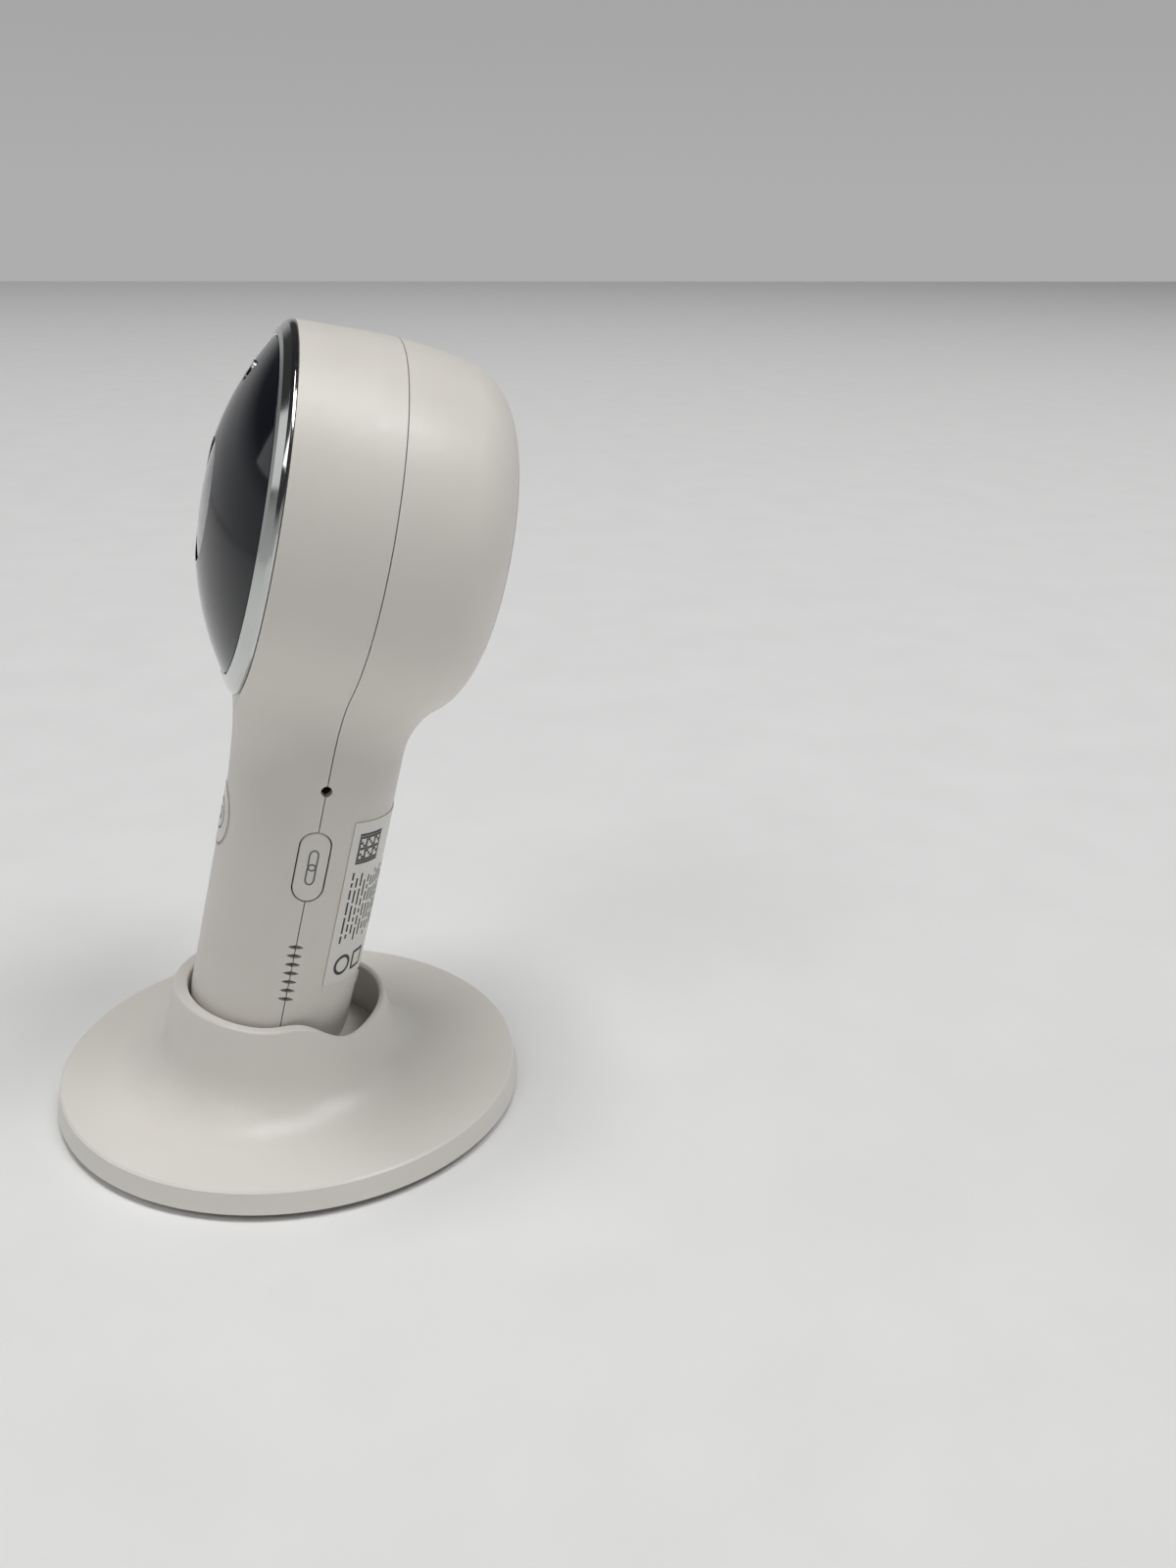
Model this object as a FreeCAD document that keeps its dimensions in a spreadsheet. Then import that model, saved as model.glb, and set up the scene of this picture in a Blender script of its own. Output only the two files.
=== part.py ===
"""Baby monitor camera on a weighted base, as separate pieces.

Millimetres, +Z up. The origin is the centre of the base's underside; the lens looks along -Y
and the pair button is on the +X side. Three frames are used: the base's own, the camera's (its
origin on the tilt axis, Z up the stem) and the head's (origin on the lens axis in the seam
plane, Y up and Z forward).
"""
import FreeCAD, Part
import math
import os
from types import SimpleNamespace

import Sketcher
from FreeCAD import Placement, Rotation, Vector

# Driving dimensions: name, millimetres (or degrees), meaning.
DIMENSIONS = [
    ("rim_radius", 44.0, "base, top edge of the rim"),
    ("foot_radius", 44.8, "base, widest radius, low on the rim"),
    ("plate_top", 5.7, "base, height of the flat top"),
    ("shell_lift", 0.6, "base, clearance of the shell above the table"),
    ("base_wall", 2.1, "base, wall thickness"),
    ("collar_setback", 2.0, "collar axis ahead of the base's centre"),
    ("flare_radius", 11.0, "collar, concave radius between plate and collar"),
    ("flare_reach", 32.5, "collar, radius where the flare meets the plate"),
    ("collar_lean", 14.0, "collar, draft of its outer wall, degrees"),
    ("collar_front", 24.4, "collar, height of its lip in front"),
    ("collar_side", 22.6, "collar, height of its lip at the sides"),
    ("collar_rear", 18.4, "collar, height of its lip behind"),
    ("cup_radius", 19.5, "collar, inner radius behind the stem"),
    ("cup_floor", 8.6, "collar, height of the cup's floor"),
    ("mouth_gap", 0.45, "gap between stem and collar lip"),
    ("pivot_height", 21.0, "tilt axis above the table"),
    ("pivot_ahead", 2.98, "tilt axis ahead of the base's centre"),
    ("tilt_angle", 13.3, "lean of the stem at rest, degrees"),
    ("stem_wide", 16.8, "stem, half width"),
    ("stem_deep", 15.3, "stem, half depth"),
    ("heel_drop", 7.4, "stem, foot below the tilt axis at mid depth"),
    ("heel_round", 5.0, "stem, rounding of the rear corner of its foot"),
    ("shell_wall", 2.0, "camera housing, wall thickness"),
    ("seam_gap", 0.18, "gap between the housing halves"),
    ("neck_radius", 18.0, "blend between stem and head"),
    ("head_rise", 91.8, "lens axis above the tilt axis"),
    ("seam_radius", 33.2, "head, radius at the seam"),
    ("front_radius", 32.2, "head, radius at its front edge"),
    ("front_reach", 17.3, "head, front edge ahead of the seam"),
    ("back_reach", 21.6, "head, flat back behind the seam"),
    ("back_round", 11.0, "head, rounding of the back"),
    ("window_radius", 28.7, "front window, outer radius"),
    ("window_skin", 1.8, "front window, thickness"),
    ("dome_radius", 55.0, "front window, radius of curvature"),
    ("dome_reach", 28.0, "front window, apex ahead of the seam"),
    ("port_radius", 11.5, "lens port in the window"),
    ("lens_radius", 7.0, "lens barrel"),
    ("grille_radius", 19.3, "round cover in the back"),
    ("speaker_radius", 14.0, "loudspeaker"),
    ("board_radius", 26.5, "main board"),
    ("board_thick", 1.4, "circuit boards"),
    ("button_wide", 5.6, "pair button, width"),
    ("button_long", 13.4, "pair button, length"),
    ("button_rise", 33.6, "pair button above the tilt axis"),
    ("button_travel", 0.7, "pair button, travel"),
    ("mic_rise", 48.2, "microphone hole above the tilt axis"),
    ("mic_radius", 1.0, "microphone hole"),
    ("badge_rise", 35.4, "badge above the tilt axis"),
    ("badge_radius", 6.05, "badge"),
    ("label_low", 9.5, "rating label, lower edge above the tilt axis"),
    ("label_high", 42.5, "rating label, upper edge above the tilt axis"),
    ("label_edge", 6.5, "rating label, side edges behind the seam"),
    ("socket_rise", 6.2, "power socket above the tilt axis"),
    ("pin_radius", 2.0, "tilt pin"),
    ("pin_play", 0.05, "running clearance round the tilt pin"),
]

doc = FreeCAD.newDocument("baby_monitor_camera")
sheet = doc.addObject("Spreadsheet::Sheet", "Dims")
for row, (alias, value, meaning) in enumerate(DIMENSIONS, start=1):
    sheet.set(f"A{row}", meaning)
    sheet.set(f"B{row}", str(value))
    sheet.setAlias(f"B{row}", alias)
doc.recompute()


class Size(float):
    """A number that remembers the spreadsheet expression it comes from."""

    def __new__(cls, value, text):
        size = super().__new__(cls, value)
        size.text = text
        return size

    def __add__(self, other):
        return Size(float(self) + float(other), f"({self.text} + {text_of(other)})")

    def __sub__(self, other):
        return Size(float(self) - float(other), f"({self.text} - {text_of(other)})")

    def __mul__(self, other):
        return Size(float(self) * float(other), f"({self.text} * {text_of(other)})")

    def __neg__(self):
        return self * -1.0


def text_of(value):
    return value.text if isinstance(value, Size) else repr(float(value))


d = SimpleNamespace(**{alias: Size(getattr(sheet, alias), f"Dims.{alias}") for alias, _, _ in DIMENSIONS})

# The three frames.
BASE = Placement()
CAMERA = Placement(Vector(0, -d.pivot_ahead, d.pivot_height), Rotation(Vector(1, 0, 0), -d.tilt_angle))
HEAD = CAMERA.multiply(Placement(Vector(0, 0, d.head_rise), Rotation(Vector(1, 0, 0), 90)))

X_AXIS = (1, 0, 0)
Y_AXIS = (0, 1, 0)
Z_AXIS = (0, 0, 1)
SIDEWAYS, FORWARD, BACKWARD = Vector(1, 0, 0), Vector(0, -1, 0), Vector(0, 1, 0)
subparts = []


def bind(item, name, value):
    """Set a property, and tie it to the sheet when the value comes from there."""
    setattr(item, name, float(value))
    if isinstance(value, Size):
        item.setExpression(name, value.text)


def keep(item, label, frame=BASE):
    """Register a finished sub-part under its name, placed in its frame."""
    item.Label = label
    item.Placement = frame.multiply(item.Placement)
    subparts.append(item)
    return item


def keep_shape(shape, label, frame=BASE):
    """Register a sub-part whose shape is worked out directly."""
    item = doc.addObject("Part::Feature", label)
    item.Shape = shape
    return keep(item, label, frame)


# Part primitives and booleans.
def cylinder(radius, height, at=(0, 0, 0), along=Z_AXIS):
    item = doc.addObject("Part::Cylinder", "cylinder")
    bind(item, "Radius", radius)
    bind(item, "Height", height)
    item.Placement = Placement(Vector(*at), Rotation(Vector(*Z_AXIS), Vector(*along)))
    return item


def sphere(radius, at=(0, 0, 0)):
    item = doc.addObject("Part::Sphere", "sphere")
    bind(item, "Radius", radius)
    item.Placement = Placement(Vector(*at), Rotation())
    return item


def block(size, centre):
    """A box given by its three sizes and its centre."""
    item = doc.addObject("Part::Box", "block")
    for name, value in zip(("Length", "Width", "Height"), size):
        bind(item, name, value)
    corner = Vector(*centre) - Vector(*size) * 0.5
    item.Placement = Placement(corner, Rotation())
    return item


def joined(kind, items):
    item = doc.addObject(kind, kind.split("::")[1].lower())
    if kind == "Part::Compound":
        item.Links = items
    else:
        item.Shapes = items
    return item


def fuse(*items):
    return joined("Part::MultiFuse", list(items))


def common(*items):
    return joined("Part::MultiCommon", list(items))


def group(items):
    """Identical separate solids that share one sub-part."""
    return joined("Part::Compound", list(items))


def cut(base, *tools):
    item = doc.addObject("Part::Cut", "cut")
    item.Base = base
    item.Tool = tools[0] if len(tools) == 1 else fuse(*tools)
    return item


def around(radius, count, start=0.0):
    """Points evenly spaced on a circle about Z."""
    angles = [math.radians(start + 360.0 * step / count) for step in range(count)]
    return [(radius * math.cos(angle), radius * math.sin(angle)) for angle in angles]


# PartDesign bodies.
def new_body(label):
    return doc.addObject("PartDesign::Body", label)


def new_sketch(body, role, lift=0.0):
    """A sketch on one of the body's own origin planes, lifted along the plane's normal."""
    sketch = body.newObject("Sketcher::SketchObject", "sketch")
    plane = next(item for item in body.Origin.OriginFeatures if item.Role == role)
    sketch.AttachmentSupport = [(plane, "")]
    sketch.MapMode = "FlatFace"
    sketch.AttachmentOffset = Placement(Vector(0, 0, lift), Rotation())
    if isinstance(lift, Size):
        sketch.setExpression("AttachmentOffset.Base.z", lift.text)
    return sketch


def hold(sketch, kind, *where, value):
    """A dimension in a sketch, tied to the sheet when it comes from there."""
    index = sketch.addConstraint(Sketcher.Constraint(kind, *where, float(value)))
    if isinstance(value, Size):
        sketch.setExpression(f"Constraints[{index}]", value.text)


def draw_outline(sketch, corners):
    """A closed outline of straight lines through fully dimensioned corners."""
    points = [Vector(float(x), float(y), 0) for x, y in corners]
    count = len(points)
    for index in range(count):
        sketch.addGeometry(Part.LineSegment(points[index], points[(index + 1) % count]))
    for index, (x, y) in enumerate(corners):
        sketch.addConstraint(Sketcher.Constraint("Coincident", index, 2, (index + 1) % count, 1))
        for kind, value in (("DistanceX", x), ("DistanceY", y)):
            hold(sketch, kind, -1, 1, index, 1, value=value)


def draw_circle(sketch, radius, centre=(0.0, 0.0)):
    middle = Vector(float(centre[0]), float(centre[1]), 0)
    index = sketch.addGeometry(Part.Circle(middle, Vector(0, 0, 1), float(radius)))
    hold(sketch, "Radius", index, value=radius)
    for kind, value in (("DistanceX", centre[0]), ("DistanceY", centre[1])):
        hold(sketch, kind, -1, 1, index, 3, value=value)


def revolve(body, corners):
    """Turn an outline of (radius, height) corners about the body's Z axis."""
    sketch = new_sketch(body, "XZ_Plane")
    draw_outline(sketch, corners)
    turned = body.newObject("PartDesign::Revolution", "turned")
    turned.Profile = sketch
    turned.ReferenceAxis = (sketch, ["V_Axis"])
    turned.Angle = 360.0
    return turned


def pad(body, sketch, length):
    feature = body.newObject("PartDesign::Pad", "pad")
    feature.Profile = sketch
    bind(feature, "Length", length)
    return feature


def pocket_up(body, sketch, length):
    """Cut along the sketch's normal."""
    feature = body.newObject("PartDesign::Pocket", "pocket")
    feature.Profile = sketch
    feature.Reversed = True
    bind(feature, "Length", length)
    return feature


def repeat_round(body, feature, count):
    pattern = body.newObject("PartDesign::PolarPattern", "pattern")
    pattern.Originals = [feature]
    axis = next(item for item in body.Origin.OriginFeatures if item.Role == "Z_Axis")
    pattern.Axis = (axis, [""])
    pattern.Angle = 360.0
    pattern.Occurrences = count
    body.Tip = pattern
    return pattern


# Direct shapes, for the two forms that no simple feature gives.
def wire_face(edges):
    return Part.Face(Part.Wire(Part.__sortEdges__([edge.toShape() for edge in edges])))


def slab(low, high):
    """A plain box between two corners, as a shape."""
    size = Vector(*high) - Vector(*low)
    return Part.makeBox(size.x, size.y, size.z, Vector(*low))


def drum(inset, run_out):
    """The head's round form about its axis, run out ahead of its front edge.

    In section: a slightly opening line, a wide arc over the seam that is tangent to it, a
    tighter arc tangent to that one round the back, and the flat back.
    """
    opening = math.atan2(d.seam_radius - d.front_radius, d.front_reach)
    inward = Vector(-math.cos(opening), math.sin(opening), 0)
    bend = Vector(d.front_radius + (d.front_reach - 5.0) * math.tan(opening), -5.0, 0)
    round_centre = Vector(d.seam_radius - d.back_round - 1.2, d.back_reach - d.back_round, 0)
    across = bend - round_centre
    wide = (d.back_round ** 2 - across.Length ** 2) / (2 * (inward.dot(across) + d.back_round))
    wide_centre = bend + inward * wide
    outward = (round_centre - wide_centre).normalize()
    start = bend + inward * inset
    front = start - Vector(math.sin(opening), math.cos(opening), 0) * run_out
    meet = wide_centre + outward * (wide - inset)
    half_way = (start + meet) * 0.5 - wide_centre
    radius = d.back_round - inset
    corner = math.radians(50)
    end = round_centre + Vector(0, radius, 0)
    edges = [
        Part.LineSegment(Vector(0, front.y, 0), front),
        Part.LineSegment(front, start),
        Part.Arc(start, wide_centre + half_way.normalize() * (wide - inset), meet),
        Part.Arc(meet, round_centre + Vector(math.cos(corner), math.sin(corner), 0) * radius, end),
        Part.LineSegment(end, Vector(0, end.y, 0)),
        Part.LineSegment(Vector(0, end.y, 0), Vector(0, front.y, 0)),
    ]
    shape = wire_face(edges).revolve(Vector(0, 0, 0), Vector(0, 1, 0), 360)
    return shape.translated(Vector(0, 0, d.head_rise))


def oval_column(grow, low, high):
    """The stem's oval section, grown all round, between two heights."""
    curve = Part.Ellipse(Vector(0, 0, low), d.stem_wide + grow, d.stem_deep + grow)
    return Part.Face(Part.Wire(curve.toShape())).extrude(Vector(0, 0, high - low))


def heel_limits(inset):
    """The space above the stem's foot: the foot is level with the table at rest and its rear
    corner is rounded."""
    lean = math.radians(d.tilt_angle)
    slope = math.tan(lean)
    corner = d.heel_round - inset
    centre = Vector(0, d.stem_deep - d.heel_round, 0)
    centre.z = -d.heel_drop + slope * centre.y + d.heel_round / math.cos(lean)
    low_point = centre + Vector(0, math.sin(lean), -math.cos(lean)) * corner
    mid_turn = (lean + math.radians(90)) / 2
    mid_point = centre + Vector(0, math.sin(mid_turn), -math.cos(mid_turn)) * corner
    side_point = centre + Vector(0, corner, 0)
    wide, top = 90.0, 180.0
    front_low = Vector(0, -wide, low_point.z - slope * (wide + low_point.y))
    shoulder = Vector(0, side_point.y, centre.z + 3.0)
    edges = [
        Part.LineSegment(Vector(0, -wide, top), front_low),
        Part.LineSegment(front_low, low_point),
        Part.Arc(low_point, mid_point, side_point),
        Part.LineSegment(side_point, shoulder),
        Part.LineSegment(shoulder, Vector(0, wide, shoulder.z)),
        Part.LineSegment(Vector(0, wide, shoulder.z), Vector(0, wide, top)),
        Part.LineSegment(Vector(0, wide, top), Vector(0, -wide, top)),
    ]
    return wire_face(edges).extrude(Vector(2 * wide, 0, 0)).translated(Vector(-wide, 0, 0))


def heel_front(inset):
    """The front of the stem's foot below the tilt axis, turned about that axis so that it clears
    the collar at every lean."""
    section = Part.Ellipse(Vector(0, 0, 0), d.stem_wide - inset, d.stem_deep - inset)
    arc = Part.ArcOfEllipse(section, math.pi, 2 * math.pi)
    chord = Part.LineSegment(Vector(inset - d.stem_wide, 0, 0), Vector(d.stem_wide - inset, 0, 0))
    return wire_face([arc, chord]).revolve(Vector(0, 0, 0), SIDEWAYS, 90)


def throat(inset):
    """The space ahead of the neck: the stem's front runs on up, then bends out to the head's
    front edge in a long shallow curve."""
    rise, out = 12.0, d.front_reach - d.stem_deep
    bend = (rise ** 2 + out ** 2) / (2 * out)
    level = d.head_rise - d.front_radius - rise
    face = -d.stem_deep - 0.02 + inset
    curve = Part.makeCylinder(bend + inset, 120, Vector(-60, face - inset - bend, level), SIDEWAYS)
    return curve.fuse(slab((-60, -90, level - 7), (60, face, level)))


def camera_form(inset):
    """Head and stem as one blended solid, drawn in by the inset."""
    whole = oval_column(-inset, 0.0, d.head_rise).fuse(drum(inset, 60.0))
    neck = []
    for edge in whole.Edges:
        box = edge.BoundBox
        if 40 < box.ZMin and box.ZMax < 80 and abs(box.XMin) < 20 and abs(box.XMax) < 20 and box.YMin > -17:
            neck.append(edge)
    whole = whole.makeFillet(d.neck_radius + inset, neck)
    trimmed = whole.cut([slab((-80, -90, -80), (80, -d.front_reach + inset, 160)), throat(inset)])
    heel_rear = oval_column(-inset, -15.0, 0.0).common(slab((-40, 0, -20), (40, 40, 0)))
    return trimmed.fuse([heel_front(inset), heel_rear]).removeSplitter().common(heel_limits(inset))


def half_space(y_low, y_high):
    return slab((-80, y_low, -80), (80, y_high, 160))


def pill(width, length, x_low, x_high, rise):
    """A rounded bar across the +X side: its length runs up the stem."""
    straight = length - width
    bar = slab((x_low, -width / 2, rise - straight / 2), (x_high, width / 2, rise + straight / 2))
    for end in (rise - straight / 2, rise + straight / 2):
        round_end = Part.makeCylinder(width / 2, x_high - x_low, Vector(x_low, 0, end), SIDEWAYS)
        bar = bar.fuse(round_end)
    return bar.removeSplitter()


def vent_slots():
    """Seven short pointed slots across the seam, over the temperature sensor."""
    count, pitch, long, bulge = 7, 1.78, 2.9, 0.42
    slots = []
    for step in range(count):
        rise = 6.9 + pitch * step
        left, right = Vector(12, -long / 2, rise), Vector(12, long / 2, rise)
        edges = [Part.Arc(left, Vector(12, 0, rise + bulge), right),
                 Part.Arc(right, Vector(12, 0, rise - bulge), left)]
        slots.append(wire_face(edges).extrude(Vector(8, 0, 0)))
    return slots


def post(radius, at, length, hole):
    """A hollow screw post pointing forward (-Y) from its root."""
    outer = Part.makeCylinder(radius, length, Vector(*at), FORWARD)
    inner = Part.makeCylinder(hole, length + 1, Vector(*at) + Vector(0, 0.5, 0), FORWARD)
    return outer, inner


# ---- Camera housings -------------------------------------------------------------------------
outer_form = camera_form(0.0)
inner_form = camera_form(float(d.shell_wall))
window_mouth = Part.makeCylinder(d.front_radius - d.shell_wall, 6,
                                 Vector(0, -d.front_reach + 3, d.head_rise), FORWARD)
post_slot = slab((-5.2, -9.0, -14), (5.2, 9.0, -1))
button_hole = pill(d.button_wide + 0.32, d.button_long + 0.32, 10, 20, d.button_rise)
mic_hole = Part.makeCylinder(d.mic_radius, 10, Vector(10, 0, d.mic_rise), SIDEWAYS)
badge_at = Vector(0, -d.stem_deep + 3, d.badge_rise)
badge_seat = Part.makeCylinder(d.badge_radius + 0.15, 6, badge_at, FORWARD).cut(oval_column(-0.75, 20, 50))
socket_hole = slab((-4.1, 8, d.socket_rise - 1.7), (4.1, 20, d.socket_rise + 1.7))
head_back = Vector(0, d.back_reach, d.head_rise)
grille_seat = Part.makeCylinder(d.grille_radius + 0.3, 4, head_back - Vector(0, 1.5, 0), BACKWARD)
line_at, line_wide = head_back - Vector(0, 0.9, 0), 0.25
line_inside = Part.makeCylinder(d.seam_radius - 8.8, line_wide, line_at, BACKWARD)
back_line = Part.makeCylinder(40, line_wide, line_at, BACKWARD).cut(line_inside)
sound_hole = Part.makeCylinder(d.speaker_radius - 1.6, 8, head_back - Vector(0, 6, 0), BACKWARD)
stem_screw = Vector(0, 0, 19.0)
screw_well = Part.makeCylinder(2.6, 6, stem_screw + Vector(0, d.stem_deep - 3.2, 0), BACKWARD)
screw_way = Part.makeCylinder(1.3, 30, stem_screw + Vector(0, -6, 0), BACKWARD)

shell = outer_form.cut(inner_form.fuse(window_mouth))
shell = shell.cut([post_slot, button_hole, mic_hole] + vent_slots())

front_half = shell.common(half_space(-90, -d.seam_gap / 2)).cut(badge_seat)
boss, bore = post(2.9, stem_screw + Vector(0, -d.seam_gap / 2, 0), 14.0, 0.9)
front_half = front_half.fuse(boss.common(outer_form).cut(bore.common(half_space(-9, 1)))).removeSplitter()
keep_shape(front_half, "front_housing", CAMERA)

rear_half = shell.common(half_space(d.seam_gap / 2, 90))
rear_boss = Part.makeCylinder(3.6, d.stem_deep - 0.3, stem_screw + Vector(0, d.seam_gap / 2, 0), BACKWARD)
rear_half = rear_half.fuse(rear_boss.common(outer_form))
board_posts = [(x, z + d.head_rise) for x, z in around(22.0, 4, 45.0)]
for x, z in board_posts:
    pillar = Part.makeCylinder(2.4, d.back_reach - 4.1, Vector(x, 3.1, z), BACKWARD)
    rear_half = rear_half.fuse(pillar.common(outer_form))
rear_half = rear_half.cut([grille_seat, back_line, sound_hole, socket_hole, screw_well, screw_way])
for x, z in board_posts:
    rear_half = rear_half.cut(Part.makeCylinder(0.8, 8, Vector(x, 3.0, z), BACKWARD))
keep_shape(rear_half.removeSplitter(), "rear_housing", CAMERA)

badge = oval_column(0.05, 20, 50).cut(oval_column(-0.7, 20, 50))
badge = badge.common(Part.makeCylinder(d.badge_radius, 6, badge_at, FORWARD))
keep_shape(badge, "front_badge", CAMERA)

label = oval_column(0.2, d.label_low, d.label_high)
label = label.cut(oval_column(0.02, d.label_low - 1, d.label_high + 1))
keep_shape(label.common(half_space(d.label_edge, 90)), "rating_label", CAMERA)

# ---- Head, front to back ---------------------------------------------------------------------
ring = new_body("trim_ring")
revolve(ring, [
    (d.front_radius - 0.1, d.front_reach + 0.15),
    (d.front_radius - 0.3, d.front_reach + 0.75),
    (d.front_radius - 1.7, d.front_reach + 2.1),
    (d.window_radius + 0.25, d.front_reach + 2.55),
    (d.window_radius + 0.1, d.front_reach + 1.6),
    (d.window_radius + 0.1, d.front_reach - 1.2),
    (d.front_radius - d.shell_wall - 0.1, d.front_reach - 1.2),
    (d.front_radius - d.shell_wall - 0.1, d.front_reach + 0.15),
])
keep(ring, "trim_ring", HEAD)

dome_centre = (0, 0, d.dome_reach - d.dome_radius)
dome = common(sphere(d.dome_radius, dome_centre),
              cylinder(d.window_radius, 20, (0, 0, d.front_reach - 0.2)))
dome_inside = common(sphere(d.dome_radius - d.window_skin, dome_centre),
                     cylinder(d.window_radius - d.window_skin, 20, (0, 0, d.front_reach - 5)))
port_hole = cylinder(d.port_radius + 0.05, 12, (0, 0, d.dome_reach - 8))
sensor_at = (0, 22.5)
sensor_hole = cylinder(1.85, 12, (*sensor_at, 15))
keep(cut(dome, dome_inside, port_hole, sensor_hole), "front_window", HEAD)

port_at = (0, 0, d.dome_reach - 5)
port_skin = cut(sphere(d.dome_radius, dome_centre), sphere(d.dome_radius - d.window_skin, dome_centre))
port_band = cut(cylinder(d.port_radius, 8, port_at), cylinder(d.port_radius - 0.9, 8, port_at))
keep(common(port_skin, port_band), "port_ring", HEAD)
clear_skin = cut(sphere(d.dome_radius - 0.35, dome_centre),
                 sphere(d.dome_radius - d.window_skin, dome_centre))
keep(common(clear_skin, cylinder(d.port_radius - 0.95, 8, port_at)), "port_glass", HEAD)

sensor_cap = cylinder(1.75, 12.2, (*sensor_at, 10.6))
keep(common(sensor_cap, sphere(d.dome_radius - 0.3, dome_centre)), "light_sensor", HEAD)

barrel = new_body("lens_barrel")
revolve(barrel, [
    (2.6, 4.0), (d.lens_radius - 1.0, 4.0), (d.lens_radius - 1.0, 12.0), (d.lens_radius, 12.0),
    (d.lens_radius, 21.0), (d.lens_radius - 0.6, 21.6), (5.6, 21.6), (5.0, 19.2), (2.6, 18.2),
])
keep(barrel, "lens_barrel", HEAD)
front_lens = common(sphere(8.0, (0, 0, 13.6)), cylinder(4.95, 5, (0, 0, 19.3)))
keep(front_lens, "front_lens", HEAD)

holder_block = block((15, 15, 9.0), (0, 0, 3.3))
holder = cut(holder_block, cylinder(d.lens_radius - 0.95, 8, (0, 0, 3.6)), block((9, 9, 5), (0, 0, 1.2)))
keep(holder, "lens_holder", HEAD)
keep(block((8.8, 8.8, 0.5), (0, 0, 3.3)), "infrared_cut_filter", HEAD)
keep(block((6.5, 6.5, 1.0), (0, 0, -0.7)), "image_sensor", HEAD)

board = new_body("main_board")
board_sketch = new_sketch(board, "XY_Plane", -(d.board_thick + 1.2))
draw_circle(board_sketch, d.board_radius)
pad(board, board_sketch, d.board_thick)
for x, y in around(22.0, 4, 45.0):
    draw_circle(board_sketch, 1.1, (x, y))
keep(board, "main_board", HEAD)
board_screws = []
for x, y in around(22.0, 4, 45.0):
    board_screws.append(fuse(cylinder(2.0, 1.2, (x, y, -1.2)), cylinder(0.75, 6.5, (x, y, -7.6))))
keep(group(board_screws), "board_screws", HEAD)
shield = cut(block((16, 14, 2.2), (0, -17.2, -0.05)), block((15.2, 13.2, 2.2), (0, -17.2, -0.45)))
keep(shield, "radio_shield", HEAD)

shroud = new_body("light_shroud")
revolve(shroud, [
    (8.0, 8.0), (29.8, 8.0), (29.8, 15.4), (28.6, 15.4), (28.6, 9.2), (9.3, 9.2), (9.3, 24.2), (8.0, 24.2),
])
keep(shroud, "light_shroud", HEAD)
led_board = new_body("led_board")
led_sketch = new_sketch(led_board, "XY_Plane", 9.3)
draw_circle(led_sketch, 27.0)
draw_circle(led_sketch, 9.6)
pad(led_board, led_sketch, 1.2)
keep(led_board, "led_board", HEAD)
leds = []
for x, y in around(17.5, 8, 22.5):
    led_dome = common(sphere(2.5, (x, y, 14.6)), cylinder(2.5, 4, (x, y, 14.6)))
    leds.append(fuse(cylinder(2.9, 0.9, (x, y, 10.6)), cylinder(2.5, 4.0, (x, y, 10.6)), led_dome))
keep(group(leds), "infrared_leds", HEAD)

speaker = new_body("speaker")
revolve(speaker, [
    (0, -18.0), (5.0, -18.9), (11.5, -18.0), (12.2, -19.0), (d.speaker_radius, -19.0),
    (d.speaker_radius, -17.6), (10.0, -14.5), (7.0, -14.5), (7.0, -11.0), (0, -11.0),
])
keep(speaker, "speaker", HEAD)
gasket = new_body("speaker_gasket")
gasket_sketch = new_sketch(gasket, "XY_Plane", -19.55)
draw_circle(gasket_sketch, d.speaker_radius)
draw_circle(gasket_sketch, d.speaker_radius - 1.5)
pad(gasket, gasket_sketch, 0.5)
keep(gasket, "speaker_gasket", HEAD)

grille = new_body("rear_grille")
revolve(grille, [
    (0, -(d.back_reach - 0.1)), (d.grille_radius - 0.5, -(d.back_reach - 0.1)),
    (d.grille_radius, -(d.back_reach - 0.5)), (d.grille_radius, -(d.back_reach - 1.4)),
    (0, -(d.back_reach - 1.4)),
])
for ring_radius, count, half_length in ((4.2, 8, 0.95), (7.2, 12, 1.1), (10.2, 16, 1.25)):
    slot_sketch = new_sketch(grille, "XY_Plane", -22.5)
    slot_width = 0.45
    draw_outline(slot_sketch, [
        (ring_radius - half_length, -slot_width), (ring_radius + half_length, -slot_width),
        (ring_radius + half_length, slot_width), (ring_radius - half_length, slot_width),
    ])
    doc.recompute()
    repeat_round(grille, pocket_up(grille, slot_sketch, 4.0), count)
    doc.recompute()
keep(grille, "rear_grille", HEAD)
keep(block((24, 1.0, 6.0), (0, 25.2, -9.0)), "antenna", HEAD)

# ---- Stem ------------------------------------------------------------------------------------
cap = pill(d.button_wide, d.button_long, 14.4, 18, d.button_rise).common(oval_column(0.1, 20, 50))
flange = pill(d.button_wide + 2.0, d.button_long + 2.0, 13.1, 13.8, d.button_rise)
neck_of_button = pill(d.button_wide - 1.2, d.button_long - 1.2, 13.7, 14.6, d.button_rise)
plunger_end = 12.75
plunger = Part.makeCylinder(1.6, 0.6, Vector(plunger_end, 0, d.button_rise), SIDEWAYS)
keep_shape(cap.fuse([flange, neck_of_button, plunger]).removeSplitter(), "pair_button", CAMERA)

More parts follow.
